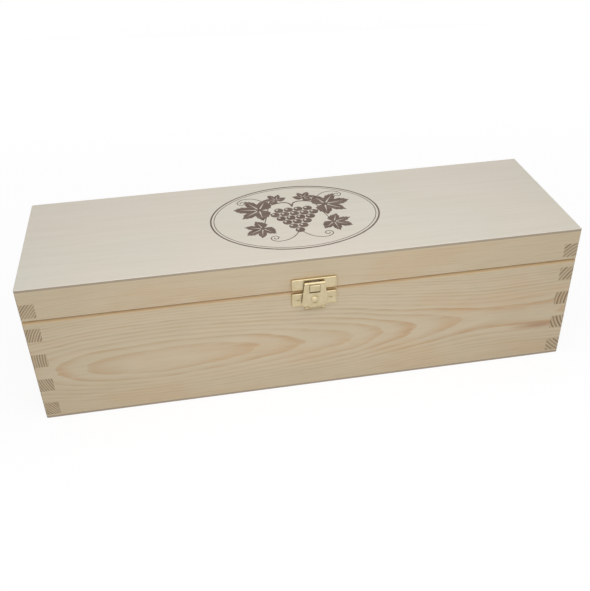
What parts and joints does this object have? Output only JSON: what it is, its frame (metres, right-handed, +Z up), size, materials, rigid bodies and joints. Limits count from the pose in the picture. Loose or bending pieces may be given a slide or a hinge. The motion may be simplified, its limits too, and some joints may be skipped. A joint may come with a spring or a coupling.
{
  "type": "wooden wine box",
  "caption": "Long finger-jointed pine box with a plywood top and bottom, a hinged lid and a swing latch in front.",
  "frame": {"origin": "middle of the underside of the bottom panel", "axes": "+X along the box to the right seen from the front, +Y to the back where the hinges are, +Z up"},
  "size_m": [0.35, 0.1162, 0.0995],
  "materials": {
    "pine": "sanded, unfinished",
    "plywood": "sanded, unfinished",
    "brass_sheet": "pale brass-plated pressed sheet",
    "brass_screws": "pale brass-plated wire"
  },
  "bodies": {
    "body": {"body_front_board": "pine", "body_back_board": "pine", "body_left_board": "pine", "body_right_board": "pine", "bottom_panel": "plywood", "latch_base_plate": "brass_sheet", "latch_base_screws": "brass_screws", "latch_pin": "brass_screws", "hinge_left_body_leaf": "brass_sheet", "hinge_right_body_leaf": "brass_sheet", "hinge_left_body_screws": "brass_screws", "hinge_right_body_screws": "brass_screws", "hinge_left_pin": "brass_screws", "hinge_right_pin": "brass_screws"},
    "lid": {"lid_front_board": "pine", "lid_back_board": "pine", "lid_left_board": "pine", "lid_right_board": "pine", "lid_top_panel": "plywood", "latch_keeper_plate": "brass_sheet", "hinge_left_lid_leaf": "brass_sheet", "hinge_right_lid_leaf": "brass_sheet", "hinge_left_lid_screws": "brass_screws", "hinge_right_lid_screws": "brass_screws"},
    "lever": {"latch_lever": "brass_sheet"}
  },
  "joints": [
    {"name": "lid_hinge", "type": "hinge", "parent": "body", "child": "lid", "pos_m": [0, 0.056, 0.07675], "axis": [-1, 0, 0], "range_deg": [0, 188]},
    {"name": "latch_hinge", "type": "hinge", "parent": "body", "child": "lever", "pos_m": [0.0017, -0.0562, 0.06475], "axis": [1, 0, 0], "range_deg": [0, 175]}
  ]
}
